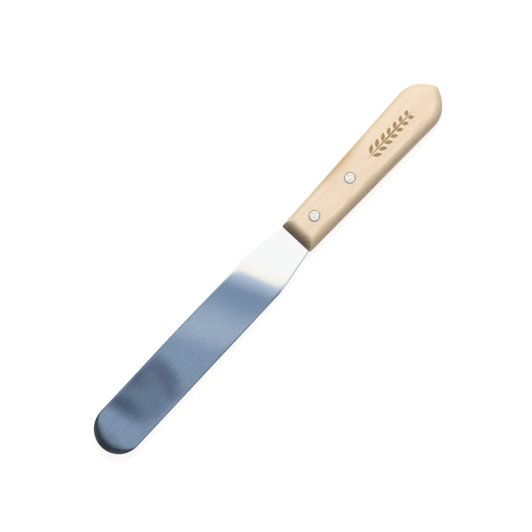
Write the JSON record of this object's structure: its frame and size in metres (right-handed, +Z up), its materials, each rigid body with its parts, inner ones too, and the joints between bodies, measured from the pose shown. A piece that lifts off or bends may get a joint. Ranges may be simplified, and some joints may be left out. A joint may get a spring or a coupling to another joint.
{
  "type": "palette knife",
  "caption": "Palette knife with a straight round-ended flexible steel blade riveted into a flat wooden handle whose butt comes to a point.",
  "frame": {"origin": "under the middle of the overall length, on the centreline, on the plane of the handle's lower face", "axes": "+X along the knife from the butt of the handle to the tip of the blade; +Z up, square to the flat of the blade; +Y to the left of someone who looks from the butt to the tip"},
  "size_m": [0.285, 0.03, 0.014],
  "materials": {
    "blade_steel": "satin, brushed along the blade",
    "handle_wood": "fine sanded pale maple or beech, clear satin lacquer",
    "rivet_metal": "bright nickel plate"
  },
  "bodies": {
    "root": {"blade": "blade_steel", "handle": "handle_wood", "front_rivet_post": "rivet_metal", "front_rivet_pin": "rivet_metal", "rear_rivet_post": "rivet_metal", "rear_rivet_pin": "rivet_metal"}
  },
  "joints": []
}
